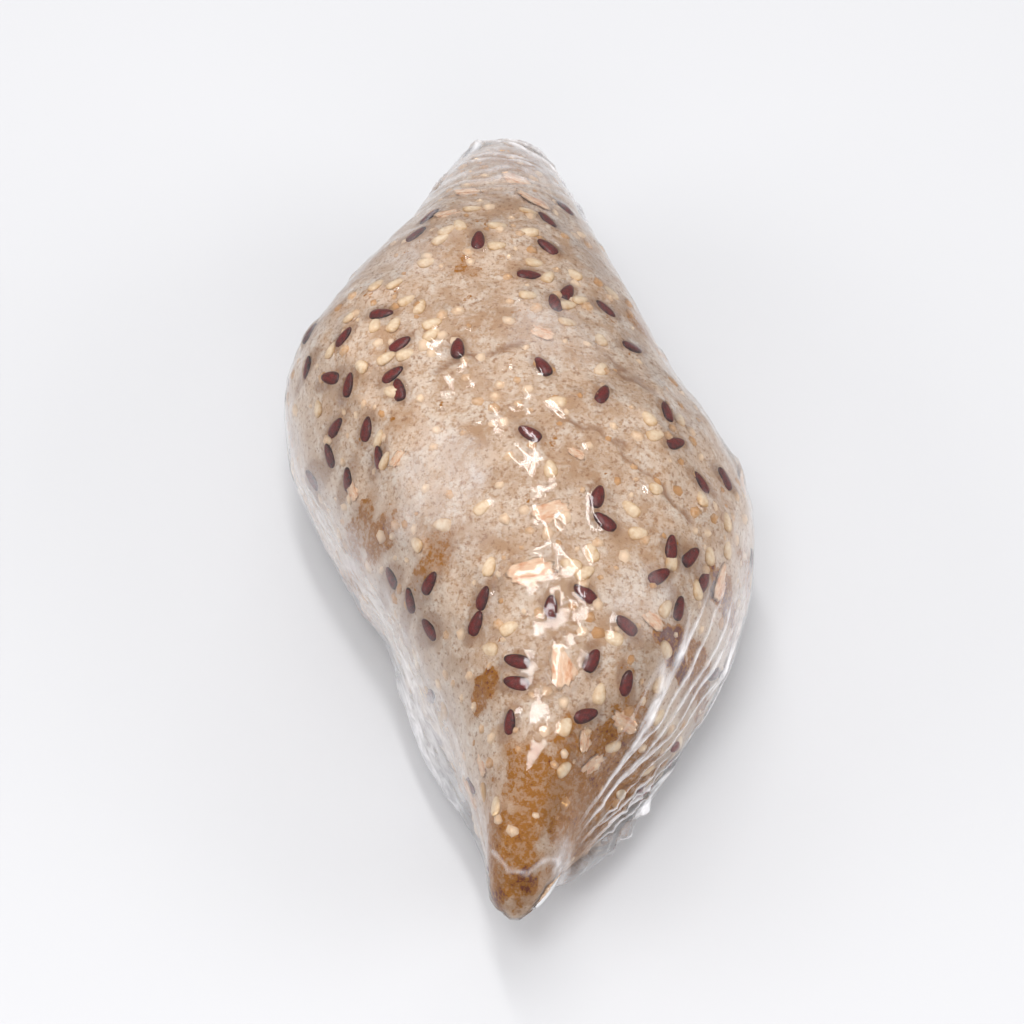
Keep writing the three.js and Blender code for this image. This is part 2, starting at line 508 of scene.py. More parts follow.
class ROLL_OT_crust(bpy.types.Operator):
    """Make the baked crust of the roll"""

    bl_idname = "roll.crust"
    bl_label = "Crust"

    def execute(self, context):
        settings = context.scene.roll_crust
        height = crust_height(LOAF, settings)
        points, poles = LOAF.raised(height)
        mesh = skin_mesh("crust", points, poles)
        paint(mesh, "toast", patches(points, TOASTED_SPOTS), (1.0, 0.2))
        paint(mesh, "crack", crack_mask(points))
        paint(mesh, "strewn", strewn_share(points))
        # Painted shade: the dough is darkened round each placed linseed, as the shadow where the seed meets
        # the crust.
        paint(mesh, "moat", painted_seed_shade(points, context.scene.roll_seeds.linseed_length))
        # The walls are painted paler towards the flour colour: partly the less-baked crust of the sides,
        # partly painted light that brightens walls the lamps leave dim.
        pale = smooth_step(0.75, 0.25, LOAF.out[..., 2]) * smooth_step(-62, -48, points[..., 1] / MM)
        paint(mesh, "pale", pale)
        clumps = 0.3 + 0.7 * (noise_field(points, 9) > -0.1)
        off_tip = 0.3 + 0.7 * smooth_step(-60, -50, points[..., 1] / MM)
        paint(mesh, "gritty", smooth_step(2 * MM, 8 * MM, points[..., 2]) * clumps * off_tip)
        crust = linked("crust", mesh, crust_material(settings))
        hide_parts("roll")
        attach(crust, "root")
        return {"FINISHED"}


# ---------- seeds and flakes ----------
# Where each linseed lies on the top, in plan: x and y in mm, and how far it is turned, in degrees from X.
LINSEEDS = [
    (-6, 31, 95), (5, 31, 155), (2, 24, 15), (8, 21, 75), (6, 18, 110), (14, 20, 160), (-21, 17, 0),
    (-27, 15, 35), (-18, 10, 35), (18, 13, 20), (-9, 8, 100), (4, 4, 130), (-33, 14, 35), (-19, 5, 30),
    (-29, 9, 175), (-26, 6, 65), (-18, 2, 110), (13, -1, 80), (23, -1, 115), (-28, 1, 35), (-23, -2, 70),
    (2, -9, 155), (24, -7, 35), (-21, -7, 70), (-29, -2, 75), (-32, -2, 130), (32, -8, 150), (-26, -7, 65),
    (28, -12, 160), (12, -19, 85), (13, -23, 150), (23, -25, 110), (26, -25, 60), (-19, -23, 135),
    (21, -30, 45), (28, -27, 75), (-13, -28, 45), (10, -34, 150), (-16, -28, 70), (5, -36, 95),
    (-5, -33, 50), (-6, -36, 60), (16, -38, 150), (-13, -33, 130), (24, -33, 105), (0, -43, 175),
    (0, -46, 175), (11, -43, 80), (16, -45, 100), (10, -50, 30), (-1, -51, 65), (26, -42, 75),
    (-14, 40, 40), (-16, 35, 50), (8, 46, 140), (5, 39, 150), (-33, 22, 60),
]

# Sesame seeds on the top, in the same way.
SESAME = [
    (2, 40, 0), (2, 34, 170), (-3, 30, 10), (5, 24, 60), (9, 26, 130), (8, 18, 20), (10, 20, 30),
    (8, 14, 10), (13, 12, 90), (-19, 23, 30), (-22, 24, 40), (-17, 19, 25), (-15, 17, 70), (-13, 13, 10),
    (-26, 19, 50), (-22, 15, 80), (-19, 14, 60), (-13, 11, 40), (-20, 8, 20), (-17, 8, 5), (-29, 14, 40),
    (-24, 8, 130), (-3, 35, 0), (-11, 34, 30), (-9, 35, 100), (-12, 32, 30), (-7, 40, 10), (3, 27, 0),
    (-31, 6, 80), (-21, -4, 40), (-20, -8, 30), (-19, 2, 150), (-11, -21, 160), (-5, -20, 30),
    (-4, -29, 60), (-1, -38, 20), (-15, -22, 130), (5, -15, 90), (21, -7, 20), (25, -1, 60),
    (28, -15, 80), (21, -16, 20), (20, -4, 110), (8, -30, 150), (10, -31, 20), (29, -23, 90),
    (23, -27, 70), (32, -20, 80), (32, -16, 90), (22, -34, 40), (27, -29, 110), (18, -24, 0),
    (11, -28, 95), (6, -3, 165), (-4, -40, 165), (14, -40, 150), (12, -47, 80), (7, -52, 60),
    (14, -52, 160), (7, -57, 10), (22, -39, 140), (21, -43, 80), (21, -46, 20),
    (-3, -61, 70), (2, 19, 0), (15, 25, 140), (-14, 27, 20), (13, 5, 60), (17, -20, 130),
]

# Rolled grain flakes: x, y, turn, and their length against the usual one.
FLAKES = [
    (0, 50, 0, 0.8), (3, 44, 175, 0.95), (-11, 39, 20, 0.7), (4, 11, 150, 0.75), (-18, -9, 45, 0.5),
    (-25, -9, 110, 0.6), (5, -22, 25, 0.9), (2, -31, 20, 1.1), (31, -25, 70, 1.15), (20, -36, 150, 0.7),
    (7, -44, 95, 1.15), (10, -53, 110, 0.6), (16, -49, 145, 0.8), (11, -55, 60, 0.7), (-5, -54, 100, 0.6),
    (-8, 46, 10, 0.7), (9, -12, 150, 0.5),
]


def seed_mesh(name, length, width, thickness, point):
    """A flattened seed along X, rounded at one end and drawn out to a point at the other."""
    rings, segments = 9, 10
    corners, faces, rim = [(-length / 2, 0, 0)], [], [1.0]
    for i in range(1, rings):
        t = i / rings
        swell = math.sin(math.pi * t) ** 0.75 * (1 - point * t) / (1 - 0.45 * point)
        for k in range(segments):
            angle = 2 * math.pi * k / segments
            rim.append(max(abs(math.cos(angle)) ** 3, abs(math.cos(math.pi * t)) ** 4))
            corners.append(
                (
                    -length / 2 * math.cos(math.pi * t),
                    width / 2 * swell * math.cos(angle),
                    thickness / 2 * swell * math.sin(angle),
                )
            )
    corners.append((length / 2, 0, 0))
    rim.append(1.0)
    for k in range(segments):
        beyond = (k + 1) % segments
        faces.append((0, 1 + beyond, 1 + k))
        for i in range(rings - 2):
            here = 1 + i * segments
            faces.append((here + k, here + beyond, here + segments + beyond, here + segments + k))
        last = 1 + (rings - 2) * segments
        faces.append((len(corners) - 1, last + k, last + beyond))
    mesh = bpy.data.meshes.new(name)
    mesh.from_pydata(corners, [], faces)
    mesh.attributes.new("rim", "FLOAT", "POINT").data.foreach_set("value", rim)
    mesh.shade_smooth()
    return mesh


def flake_mesh(name, length, variant):
    """A rolled grain flake: a thin curled plate with a ragged rim and a groove along its middle."""
    steps, width, thickness = 12, 0.58 * length, 0.6 * MM
    corners, faces = [], []
    for side in (1, -1):
        for i in range(steps + 1):
            for k in range(steps + 1):
                u, v = 2 * i / steps - 1, 2 * k / steps - 1
                # maps the square on a disc, so that the rim is round
                x = u * math.sqrt(1 - v * v / 2)
                y = v * math.sqrt(1 - u * u / 2)
                rim = max(abs(u), abs(v))
                ragged = 1 + 0.5 * rim * noise.noise(Vector((2.6 * x, 2.6 * y, variant * 5.3)))
                curl = 0.16 * (x * x - 0.35) + 0.12 * y * y * y
                groove = -0.22 * math.exp(-((y / 0.22) ** 2)) * (1 - x * x)
                ripple = 0.18 * noise.noise(Vector((1.3 * x, 4.2 * y, variant * 2.7)))
                lift = (1 - rim**4) * thickness / 2 * side
                height = (curl + ripple + 0.5 * groove) * 1.1 * MM + lift
                corners.append((x * ragged * length / 2, y * ragged * width / 2, height))
    row = steps + 1
    for side, start in ((0, 0), (1, row * row)):
        for i in range(steps):
            for k in range(steps):
                a = start + i * row + k
                quad = (a, a + row, a + row + 1, a + 1)
                faces.append(quad if side == 0 else quad[::-1])
    mesh = bpy.data.meshes.new(name)
    mesh.from_pydata(corners, [], faces)
    work = bmesh.new()
    work.from_mesh(mesh)
    bmesh.ops.remove_doubles(work, verts=work.verts, dist=1e-6)
    bmesh.ops.recalc_face_normals(work, faces=work.faces)
    work.to_mesh(mesh)
    work.free()
    mesh.shade_smooth()
    own = [(v.co.x / MM, v.co.y / MM, 7.0 * variant) for v in mesh.vertices]
    mesh.attributes.new("own", "FLOAT_VECTOR", "POINT").data.foreach_set("vector", np.ravel(own))
    return mesh


def grit_mesh(name, length, variant):
    """A bit of broken grain: a lump with uneven sides."""
    work = bmesh.new()
    bmesh.ops.create_icosphere(work, subdivisions=1, radius=length / 2)
    for corner in work.verts:
        push = 1 + 0.45 * noise.noise(corner.co * 900 + Vector((variant * 3.1, 0, 0)))
        corner.co *= push
        corner.co.y *= 0.8
        corner.co.z *= 0.5
    mesh = bpy.data.meshes.new(name)
    work.to_mesh(mesh)
    work.free()
    return mesh


def scatter_tree(name, material, seed, share):
    """Nodes that lay a copy of a shape on each placed point and on points scattered over the crust."""
    tree = bpy.data.node_groups.new(name, "GeometryNodeTree")
    sockets = {"Placed": "Geometry", "Crust": "Object", "Shapes": "Collection"}
    for socket, kind in (sockets | {"Spacing": "Float", "Density": "Float"}).items():
        tree.interface.new_socket(socket, in_out="INPUT", socket_type="NodeSocket" + kind)
    tree.interface.new_socket("Geometry", in_out="OUTPUT", socket_type="NodeSocketGeometry")
    given = node(tree, "NodeGroupInput").outputs

    # Strewn points lie flat on the crust, turned at random.
    crust = node(tree, "GeometryNodeObjectInfo", {"Object": given["Crust"]})
    where = node(tree, "GeometryNodeInputNamedAttribute", {"Name": share}, data_type="FLOAT")
    strewn = node(
        tree,
        "GeometryNodeDistributePointsOnFaces",
        {
            "Mesh": crust.outputs["Geometry"],
            "Distance Min": given["Spacing"],
            "Density Max": given["Density"],
            "Density Factor": where,
            "Seed": seed,
        },
        distribute_method="POISSON",
    )
    turn = node(tree, "FunctionNodeRandomValue", {"Max": 2 * math.pi, "Seed": seed + 1}, data_type="FLOAT")
    about_z = node(tree, "ShaderNodeCombineXYZ", {"Z": turn.outputs[1]})
    spin = node(tree, "FunctionNodeEulerToRotation", {"Euler": about_z})
    turned = {"Rotation": strewn.outputs["Rotation"], "Rotate By": spin}
    lying = node(tree, "FunctionNodeRotateRotation", turned, rotation_space="LOCAL")
    lie = node(tree, "FunctionNodeRotationToEuler", {"Rotation": lying})
    points = strewn.outputs["Points"]
    for attribute, value, kind in (("lie", lie, "FLOAT_VECTOR"), ("grow", 1.0, "FLOAT")):
        stored = {"Geometry": points, "Name": attribute, "Value": value}
        points = node(tree, "GeometryNodeStoreNamedAttribute", stored, data_type=kind, domain="POINT")
    placed = node(tree, "GeometryNodeMeshToPoints", {"Mesh": given["Placed"], "Radius": 0.1 * MM})
    both = node(tree, "GeometryNodeJoinGeometry", {"Geometry": points})
    tree.links.new(placed.outputs[0], both.inputs["Geometry"])

    # Every copy gets its own tone, a small tilt and its own size.
    tone = node(tree, "FunctionNodeRandomValue", {"Seed": seed + 2}, data_type="FLOAT").outputs[1]
    stored = {"Geometry": both, "Name": "tone", "Value": tone}
    toned = node(tree, "GeometryNodeStoreNamedAttribute", stored, data_type="FLOAT", domain="POINT")
    tilt = node(
        tree,
        "FunctionNodeRandomValue",
        {"Min": (-0.15, -0.15, -0.2), "Max": (0.15, 0.15, 0.2), "Seed": seed + 3},
        data_type="FLOAT_VECTOR",
    )
    lie = node(tree, "GeometryNodeInputNamedAttribute", {"Name": "lie"}, data_type="FLOAT_VECTOR")
    laid, tilted = (node(tree, "FunctionNodeEulerToRotation", {"Euler": euler}) for euler in (lie, tilt))
    rotation = node(
        tree, "FunctionNodeRotateRotation", {"Rotation": laid, "Rotate By": tilted}, rotation_space="LOCAL"
    )
    grow = node(tree, "GeometryNodeInputNamedAttribute", {"Name": "grow"}, data_type="FLOAT")
    vary = node(
        tree, "FunctionNodeRandomValue", {"Min": 0.86, "Max": 1.12, "Seed": seed + 4}, data_type="FLOAT"
    )
    size = node(tree, "ShaderNodeMath", {0: grow, 1: vary.outputs[1]}, operation="MULTIPLY")
    shapes = node(
        tree,
        "GeometryNodeCollectionInfo",
        {"Collection": given["Shapes"], "Separate Children": True, "Reset Children": True},
    )
    copies = node(
        tree,
        "GeometryNodeInstanceOnPoints",
        {"Points": toned, "Instance": shapes, "Pick Instance": True, "Rotation": rotation, "Scale": size},
    )
    real = node(tree, "GeometryNodeRealizeInstances", {"Geometry": copies})
    finished = node(tree, "GeometryNodeSetMaterial", {"Geometry": real, "Material": material})
    node(tree, "NodeGroupOutput", {"Geometry": finished})
    return tree


def placed_points(name, places):
    """A mesh of loose points on the crust, each with the way it lies and its size."""
    crust = surface_of(bpy.data.objects["crust"])
    corners, lies, sizes = [], [], []
    for x, y, degrees, *grow in places:
        hit, normal, _, _ = crust.ray_cast(Vector((x * MM, y * MM, 0.1)), Vector((0, 0, -1)))
        if hit is None:
            continue
        angle = math.radians(degrees)
        side = normal.cross(Vector((math.cos(angle), math.sin(angle), 0))).normalized()
        axes = Matrix((side.cross(normal), side, normal)).transposed()
        corners.append(hit)
        lies.append(axes.to_euler())
        sizes.append(grow[0] if grow else 1.0)
    mesh = bpy.data.meshes.new(name)
    mesh.from_pydata(corners, [], [])
    mesh.attributes.new("lie", "FLOAT_VECTOR", "POINT").data.foreach_set("vector", np.ravel(lies))
    mesh.attributes.new("grow", "FLOAT", "POINT").data.foreach_set("value", sizes)
    return linked(name, mesh)


def strew(name, places, shapes, material, seed, spacing_mm, per_square_cm, sunk, share="strewn"):
    """Lays the shapes on the placed points and over the strewn part of the crust, as one plain mesh.

    Each is sunk by a share of its thickness. share names the crust's mask of where they are strewn."""
    holder = bpy.data.collections.new(name + "_shapes")
    for mesh in shapes:
        thick = max(v.co.z for v in mesh.vertices)
        mesh.transform(Matrix.Translation((0, 0, -sunk * thick)))
        holder.objects.link(bpy.data.objects.new(mesh.name, mesh))
    points = placed_points(name + "_points", places)
    modifier = points.modifiers.new("Scatter", "NODES")
    modifier.node_group = scatter_tree(name + "_scatter", material, seed, share)
    sockets = {item.name: item.identifier for item in modifier.node_group.interface.items_tree}
    modifier[sockets["Crust"]] = bpy.data.objects["crust"]
    modifier[sockets["Shapes"]] = holder
    modifier[sockets["Spacing"]] = spacing_mm * MM
    modifier[sockets["Density"]] = per_square_cm * 1e4
    seen = bpy.context.evaluated_depsgraph_get()
    mesh = bpy.data.meshes.new_from_object(points.evaluated_get(seen))
    mesh.name = name
    mesh.shade_smooth()
    points.modifiers.clear()
    bpy.data.objects.remove(points)
    for shape in list(holder.objects):
        bpy.data.objects.remove(shape)
    bpy.data.collections.remove(holder)
    made = linked(name, mesh)
    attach(made, "root")
    return made


def seed_material(name, colour, dark, rough, line_mm):
    """A seed's hull: darker at its rim, different from seed to seed, and lined. Real lines are under
    0.1 mm apart and wouldn't show, so they are drawn coarser."""
    material, tree = new_material(name)
    spot = node(tree, "ShaderNodeTexCoord").outputs["Object"]
    lines = node(tree, "ShaderNodeTexNoise", {"Vector": spot, "Scale": per_metre(line_mm), "Detail": 3})
    tone, rim = (
        node(tree, "ShaderNodeAttribute", attribute_name=field).outputs["Fac"] for field in ("tone", "rim")
    )
    lined = node(tree, "ShaderNodeMath", {0: tone, 1: lines}, operation="ADD")
    rimmed = node(tree, "ShaderNodeMath", {0: rim, 1: 0.45}, operation="MULTIPLY")
    worn = node(tree, "ShaderNodeMath", {0: lined, 1: rimmed}, operation="ADD")
    mask = node(tree, "ShaderNodeMapRange", {"Value": worn, "From Min": 0.8, "From Max": 1.45})
    skin = node(tree, "ShaderNodeMix", {0: mask, 6: rgba(colour), 7: rgba(dark)}, data_type="RGBA").outputs[2]
    relief = node(tree, "ShaderNodeBump", {"Height": lines, "Strength": 0.4, "Distance": 0.15 * MM})
    shader = node(
        tree,
        "ShaderNodeBsdfPrincipled",
        {"Base Color": skin, "Roughness": rough, "Normal": relief, "Specular IOR Level": 0.3},
    )
    node(tree, "ShaderNodeOutputMaterial", {"Surface": shader})
    return material


def flake_material(settings):
    """Rolled rye: pale flour at its heart, with orange-brown bran in lines along the flake."""
    material, tree = new_material("rolled_rye_flake")
    own = node(tree, "ShaderNodeAttribute", attribute_name="own").outputs["Vector"]
    tone = node(tree, "ShaderNodeAttribute", attribute_name="tone").outputs["Fac"]
    drawn = node(tree, "ShaderNodeMapping", {"Vector": own, "Scale": (0.45, 1.1, 1.0)})
    shift = node(tree, "ShaderNodeMath", {0: tone, 1: 9.0}, operation="MULTIPLY")
    shifted = node(tree, "ShaderNodeVectorMath", {0: drawn, 1: shift}, operation="ADD")
    # The flake's own coordinates are in mm, so the bran lines are about 1 mm wide and 2 mm long.
    look = {"Scale": 1.0, "Detail": 4, "Roughness": 0.7}
    lines = node(tree, "ShaderNodeTexNoise", {"Vector": shifted} | look)
    colour = rgba(settings.flake)
    for low, high, layer in ((0.5, 0.72, rgba(settings.bran)), (0.42, 0.3, rgba(srgb("#fbf3ea")))):
        mask = node(tree, "ShaderNodeMapRange", {"Value": lines, "From Min": low, "From Max": high})
        colour = node(tree, "ShaderNodeMix", {0: mask, 6: colour, 7: layer}, data_type="RGBA").outputs[2]
    relief = node(tree, "ShaderNodeBump", {"Height": lines, "Strength": 1.0, "Distance": 0.5 * MM})
    skin = {"Base Color": colour, "Roughness": 0.6, "Normal": relief}
    shader = node(tree, "ShaderNodeBsdfPrincipled", skin)
    node(tree, "ShaderNodeOutputMaterial", {"Surface": shader})
    return material


class ROLL_OT_linseeds(bpy.types.Operator):
    """Strew brown linseeds over the crust"""

    bl_idname = "roll.linseeds"
    bl_label = "Linseeds"

    def execute(self, context):
        settings = context.scene.roll_seeds
        length = settings.linseed_length
        shape = seed_mesh("linseed", length, width=0.55 * length, thickness=0.28 * length, point=0.55)
        material = seed_material("linseed_hull", settings.linseed, srgb("#2c0906"), rough=0.28, line_mm=0.5)
        spread = {"seed": settings.scatter, "spacing_mm": 4.0, "per_square_cm": 0.9, "sunk": 0.1}
        made = strew("linseeds", LINSEEDS, [shape], material, **spread)
        return {"FINISHED"}


class ROLL_OT_sesame(bpy.types.Operator):
    """Strew sesame seeds over the crust"""

    bl_idname = "roll.sesame"
    bl_label = "Sesame seeds"

    def execute(self, context):
        settings = context.scene.roll_seeds
        length = settings.sesame_length
        shape = seed_mesh("sesame_seed", length, width=0.66 * length, thickness=0.27 * length, point=0.5)
        material = seed_material("sesame_hull", settings.sesame, srgb("#cda878"), rough=0.6, line_mm=0.7)
        spread = {"seed": settings.scatter + 10, "spacing_mm": 3.0, "per_square_cm": 1.3, "sunk": 0.15}
        made = strew("sesame", SESAME, [shape], material, **spread)
        return {"FINISHED"}


class ROLL_OT_flakes(bpy.types.Operator):
    """Strew rolled grain flakes over the crust"""

    bl_idname = "roll.flakes"
    bl_label = "Grain flakes"

    def execute(self, context):
        settings = context.scene.roll_seeds
        shapes = [flake_mesh(f"flake_{k}", settings.flake_length, k) for k in range(3)]
        material = flake_material(settings)
        spread = {"seed": settings.scatter + 20, "spacing_mm": 9.0, "per_square_cm": 0.15, "sunk": 0.0}
        made = strew("grain_flakes", FLAKES, shapes, material, **spread)
        return {"FINISHED"}


class ROLL_OT_grits(bpy.types.Operator):
    """Strew small broken grains over the crust"""

    bl_idname = "roll.grits"
    bl_label = "Broken grains"

    def execute(self, context):
        settings = context.scene.roll_seeds
        shapes = [grit_mesh(f"grit_{k}", (1.3 + 0.5 * k) * MM, k) for k in range(3)]
        material = seed_material("broken_wheat_grain", settings.grit, srgb("#c89a68"), rough=0.8, line_mm=0.6)
        spread = {"seed": settings.scatter + 30, "spacing_mm": 1.9, "per_square_cm": 8.0, "sunk": 0.3}
        made = strew("grits", [], shapes, material, **spread, share="gritty")
        return {"FINISHED"}


# ---------- film ----------
# Where the film stands off, in plan: x, y and radius in mm, and how strongly.
SLACK_SPOTS = [
    (-12, -14, 8, 0.9), (4, 12, 6, 0.7), (18, -34, 6, 0.5), (10, 8, 5, 0.4), (-16, 30, 6, 0.5),
    (-6, -24, 4, 0.4),
]

# Where the film is crumpled, in the same way.
CRUMPLED_SPOTS = [(17, -55, 7, 1.0), (-20, -47, 5, 0.7)]

# The film's edge across the near tip, in plan in mm, and a loose bit of it beside that edge.
TIP_SEAM = [(-3.1, -66.5), (-1.1, -69.6), (1.5, -69.9), (4, -67.8), (6, -66.6)]
TIP_PATCH = [(7.5, -66.5, 2.6, 1)]


def outermost(loaf, pieces):
    """How far out of the smooth loaf the pieces reach, at each of its points."""
    tree = surface_of(*pieces)
    reach = 2.2 * MM  # more than any piece stands out

    def cast(point, out):
        distance = tree.ray_cast(Vector(point + out * reach), Vector(-out), 2 * reach)[3]
        return reach - distance if distance is not None else 0.0

    heights = [cast(point, out) for point, out in zip(loaf.grid.reshape(-1, 3), loaf.out.reshape(-1, 3))]
    return np.array(heights).reshape(loaf.grid.shape[:2])


def relaxed(loaf, solid, rest, reach, rounds=260):
    """The film's height: a skin under tension over the solid, drawn to rest within a reach of it."""
    along = 1 / np.maximum(loaf.ring_gap, 0.12 * MM) ** 2
    round_ = 1 / np.maximum(loaf.segment_gap, 0.12 * MM) ** 2
    pull = 1 / reach**2
    total = 2 * along + 2 * round_ + pull
    film = np.maximum(solid, rest)
    for _ in range(rounds):
        near = np.concatenate([film[:1], film[:-1]])
        far = np.concatenate([film[1:], film[-1:]])
        sides = np.roll(film, 1, 1) + np.roll(film, -1, 1)
        film = (along * (near + far) + round_ * sides + pull * rest) / total
        film = np.maximum(film, solid)
    return film


def blurred(values, rounds):
    """The grid's values, each evened out with its neighbours' that many times."""
    for _ in range(rounds):
        near = np.concatenate([values[:1], values[:-1]])
        far = np.concatenate([values[1:], values[-1:]])
        values = (near + far + np.roll(values, 1, 1) + np.roll(values, -1, 1) + values) / 5
    return values


def cad_film_lift(loaf):
    """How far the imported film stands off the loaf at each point: it is more in the folds."""
    tree = surface_of(frame["nodes"]["cling_film"])
    reach = 9 * MM  # more than the film's longest fold
    lift = np.zeros(loaf.grid.shape[:2])
    for index in np.ndindex(lift.shape):
        out = Vector(loaf.out[index])
        distance = tree.ray_cast(Vector(loaf.grid[index]) + out * reach, -out, reach)[3]
        lift[index] = reach - distance if distance is not None else 0.0
    return blurred(lift, 12)


def film_material(settings):
    """Clear PVC cling film: glassy where it lies smooth, white where it is creased or stands off."""
    material, tree = new_material("clear_pvc_cling_film")
    spot = node(tree, "ShaderNodeTexCoord").outputs["Object"]
    veil = node(tree, "ShaderNodeAttribute", attribute_name="veil").outputs["Fac"]
    lengthwise = node(tree, "ShaderNodeMapping", {"Vector": spot, "Scale": (1.0, 0.16, 1.0)})
    # Streaks 1.6 mm wide run along the loaf, and pimples 1 mm across lie between them.
    look = {"Scale": per_metre(1.6), "Detail": 4, "Roughness": 0.6, "Distortion": 0.6}
    streaks = node(tree, "ShaderNodeTexNoise", {"Vector": lengthwise} | look)
    look = {"Scale": per_metre(1.0), "Detail": 3, "Roughness": 0.6, "Distortion": 0}
    pimples = node(tree, "ShaderNodeTexNoise", {"Vector": spot} | look)
    spread = {"From Min": 0.3, "From Max": 0.7, "To Min": 0.55, "To Max": 1.4}
    broken = node(tree, "ShaderNodeMapRange", {"Value": streaks} | spread)
    white = node(tree, "ShaderNodeMath", {0: veil, 1: broken}, operation="MULTIPLY", use_clamp=True)
    bumps = node(tree, "ShaderNodeMath", {0: streaks, 1: pimples}, operation="ADD")
    relief = node(tree, "ShaderNodeBump", {"Height": bumps, "Strength": 0.15, "Distance": 0.2 * MM})
    clear = node(tree, "ShaderNodeBsdfTransparent", {"Color": (1, 1, 1, 1)})
    milky = node(tree, "ShaderNodeBsdfDiffuse", {"Color": rgba(settings.veil)})
    body = node(tree, "ShaderNodeMixShader", {0: white, 1: clear, 2: milky})
    gloss = node(tree, "ShaderNodeBsdfGlossy", {"Color": (1, 1, 1, 1), "Roughness": 0.07, "Normal": relief})
    bounce = node(tree, "ShaderNodeFresnel", {"IOR": settings.ior, "Normal": relief})
    film = node(tree, "ShaderNodeMixShader", {0: bounce, 1: body, 2: gloss})
    node(tree, "ShaderNodeOutputMaterial", {"Surface": film})
    return material


class ROLL_OT_film(bpy.types.Operator):
    """Wrap the roll tightly in clear film, gathered underneath"""

    bl_idname = "roll.film"
    bl_label = "Cling film"

    def execute(self, context):
        settings = context.scene.roll_film
        x, y, z = LOAF.in_mm
        crust_only = crust_height(LOAF, context.scene.roll_crust)
        solid = under_film(LOAF, crust_only)
        lift = np.maximum(0, cad_film_lift(LOAF) - 0.7 * MM) * smooth_step(-67, -62, y)
        # The film hangs free down the walls. They begin lower on the near right, where it is clear.
        high = 0.42 + 0.18 * smooth_step(-5, 5, x)
        clear = 0.5 * smooth_step(-26, -44, y) * smooth_step(-2, 6, x)
        wall = smooth_step(high - clear, -clear, LOAF.out[..., 2])
        far_end = smooth_step(40, 62, y)
        loose = patches(LOAF.grid, SLACK_SPOTS, 5, 2.2)
        slack = np.clip(loose + 0.7 * wall + 0.5 * far_end, 0, 1) * smooth_step(-72, -66, y)
        reach = settings.cling + (settings.slack - settings.cling) * slack
        reach = reach * (0.25 + 0.75 * smooth_step(-73, -68, y))
        rest = blurred(crust_only, 4) + 0.03 * MM
        film = relaxed(LOAF, solid + 0.02 * MM, rest, reach)
        points, poles = LOAF.raised(film + wrinkle_height(LOAF, slack) + lift)
        # Round the sharp near tip the film is also drawn a little wider than the crust.
        away = points - points.mean(axis=1, keepdims=True)
        away = away / np.linalg.norm(away, axis=2, keepdims=True)
        points = points + 0.3 * MM * smooth_step(-62, -67, y)[..., None] * away
        points[..., 2] = np.maximum(points[..., 2], 0.03 * MM)

        # Where the film is white: off the crust, down the walls, at the far end and along its folds.
        near_tip = smooth_step(-46, -58, y)
        rim = smooth_step(high + 0.1, 0.1, LOAF.out[..., 2]) * smooth_step(-50, -35, y)
        veil = 0.01 + 0.14 * smooth_step(0.1 * MM, 0.7 * MM, film - solid)
        veil = veil + (0.3 - 0.08 * near_tip) * wall + 0.09 * rim + 0.24 * far_end + 0.12 * loose
        veil = veil + 0.42 * far_end * far_folds(LOAF)
        veil = veil + 0.3 * line_mask(LOAF.grid, TIP_SEAM, 0.35) + 0.25 * patches(LOAF.grid, TIP_PATCH)
        veil = veil + 0.6 * fan_share(LOAF) * fan_threads(LOAF)
        veil = veil + 0.15 * smooth_step(0.3 * MM, 2 * MM, lift)
        tight = smooth_step(-40, -25, y) * smooth_step(22, 10, z)
        veil = veil * (0.25 + 0.75 * smooth_step(-73, -69, y)) * (1 - 0.4 * tight)

        # The sheet's edges meet underneath, round a mouth where the roll stands on its flat base.
        middle = (LOAF.grid[:-1] + LOAF.grid[1:]) / 2 / MM
        mouth = (np.abs(middle[..., 0]) < 10) & (np.abs(middle[..., 1]) < 31) & (middle[..., 2] < 3)
        mesh = skin_mesh("film_wrap", points, poles, ~mouth)
        paint(mesh, "veil", np.clip(veil, 0, 0.9), (0.3, 0.4))
        film_object = linked("film_wrap", mesh, film_material(settings))
        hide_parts("cling_film")
        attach(film_object, "root")
        return {"FINISHED"}


def under_film(loaf, crust_only):
    """How far out of the smooth loaf the crust and the seeds on it reach, which the film has to clear."""
    y = loaf.in_mm[1]
    names = ("crust", "linseeds", "sesame", "grain_flakes", "grits")
    solid = outermost(loaf, [bpy.data.objects[name] for name in names])
    # The edge of a seed can lie between two points, so each point clears what its neighbours meet.
    wider = solid
    for axis in (0, 1):
        wider = np.maximum(wider, np.maximum(np.roll(wider, 1, axis), np.roll(wider, -1, axis)))
    solid = solid + (wider - solid) * smooth_step(-62, -56, y) * smooth_step(66, 60, y)
    # The near tip is too sharp to measure from outside, so there the film follows the crust.
    tip = smooth_step(-65, -68, y)
    return np.maximum(solid + (crust_only - solid) * tip, crust_only + 0.05 * MM)


def threads(loaf, pitch_mm, stretch, width, offset):
    """Thin ridges, 0 to 1, that run along the loaf and draw together at its tips, as tensioned film folds."""
    shape = loaf.grid.shape[:2]
    round_it = np.broadcast_to(loaf.angles[None, :] * 18 * MM, shape)
    points = np.stack([round_it, loaf.grid[..., 1] / stretch, np.zeros(shape)], -1)
    return np.clip(1 - np.abs(noise_field(points, pitch_mm, 1, offset)) / width, 0, 1)


def fan_threads(loaf):
    """The sharp, long threads of the fan."""
    return threads(loaf, 2.8, 9, 0.13, 6.1)


def fan_share(loaf):
    """Where long folds fan out over the near right side, 0 to 1."""
    x, y, z = loaf.in_mm
    right = smooth_step(20.5, 23, x - 0.59 * (y + 40)) * smooth_step(-22, -34, y) * smooth_step(-64, -56, y)
    return right * smooth_step(4, 9, z)


